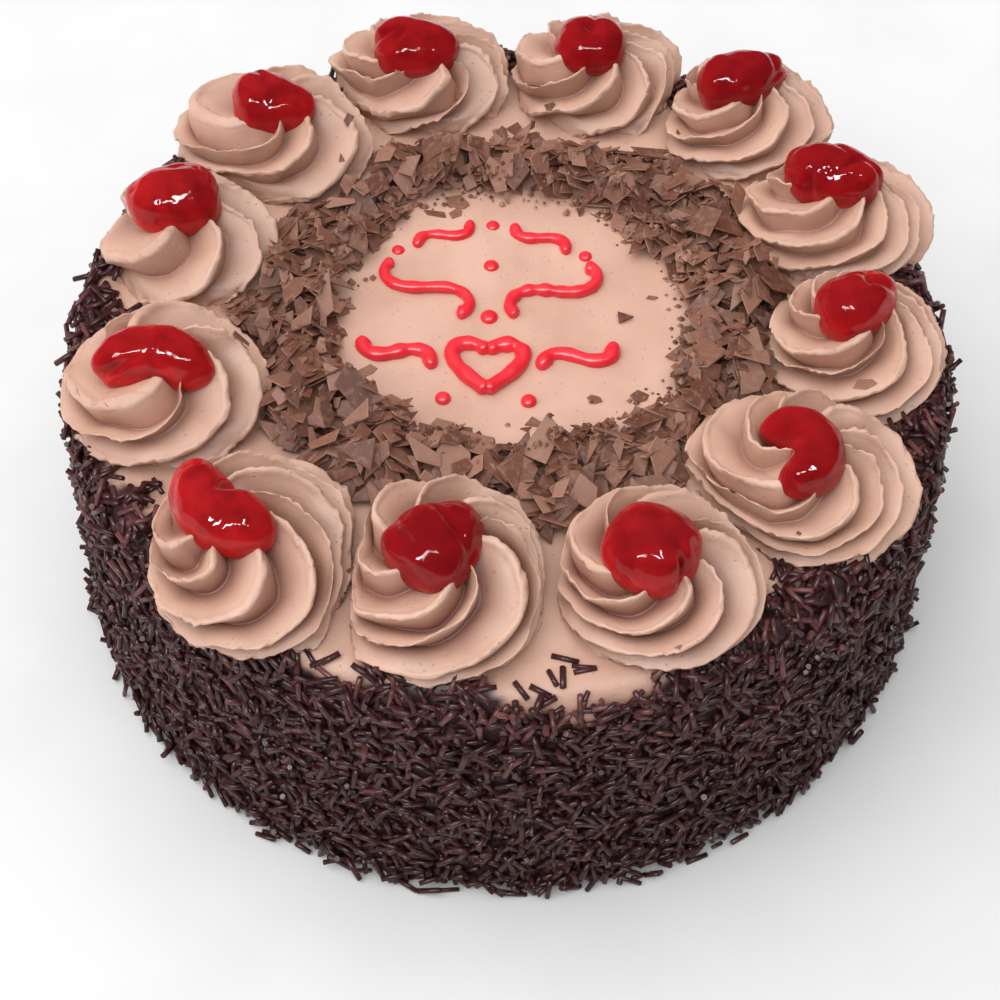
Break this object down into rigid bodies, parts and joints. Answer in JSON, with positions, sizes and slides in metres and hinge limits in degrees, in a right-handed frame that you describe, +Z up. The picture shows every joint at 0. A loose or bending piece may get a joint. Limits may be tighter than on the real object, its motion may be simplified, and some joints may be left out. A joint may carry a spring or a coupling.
{
  "type": "chocolate cake",
  "caption": "Round iced chocolate cake with piped cream rosettes under glossy cherries, a ring of chocolate flakes, a piped red ornament and a side coated in chocolate strands.",
  "frame": {"origin": "middle of the cake's flat underside", "axes": "+Z up through the cake's middle; -Y towards the front, from which the piped ornament is upright"},
  "size_m": [0.2187, 0.2186, 0.1005],
  "materials": {
    "icing": "soft matte mocha buttercream, spread smooth, under matte dark chocolate strands and flakes",
    "cream": "soft matte mocha buttercream, piped with a star nozzle",
    "cherry": "wet glossy candied cherry, deep red and a little see-through"
  },
  "bodies": {
    "root": {"cake_body": "icing", "rosette_01": "cream", "rosette_02": "cream", "rosette_03": "cream", "rosette_04": "cream", "rosette_05": "cream", "rosette_06": "cream", "rosette_07": "cream", "rosette_08": "cream", "rosette_09": "cream", "rosette_10": "cream", "rosette_11": "cream", "rosette_12": "cream", "cherry_01": "cherry", "cherry_02": "cherry", "cherry_03": "cherry", "cherry_04": "cherry", "cherry_05": "cherry", "cherry_06": "cherry", "cherry_07": "cherry", "cherry_08": "cherry", "cherry_09": "cherry", "cherry_10": "cherry", "cherry_11": "cherry", "cherry_12": "cherry"}
  },
  "joints": []
}
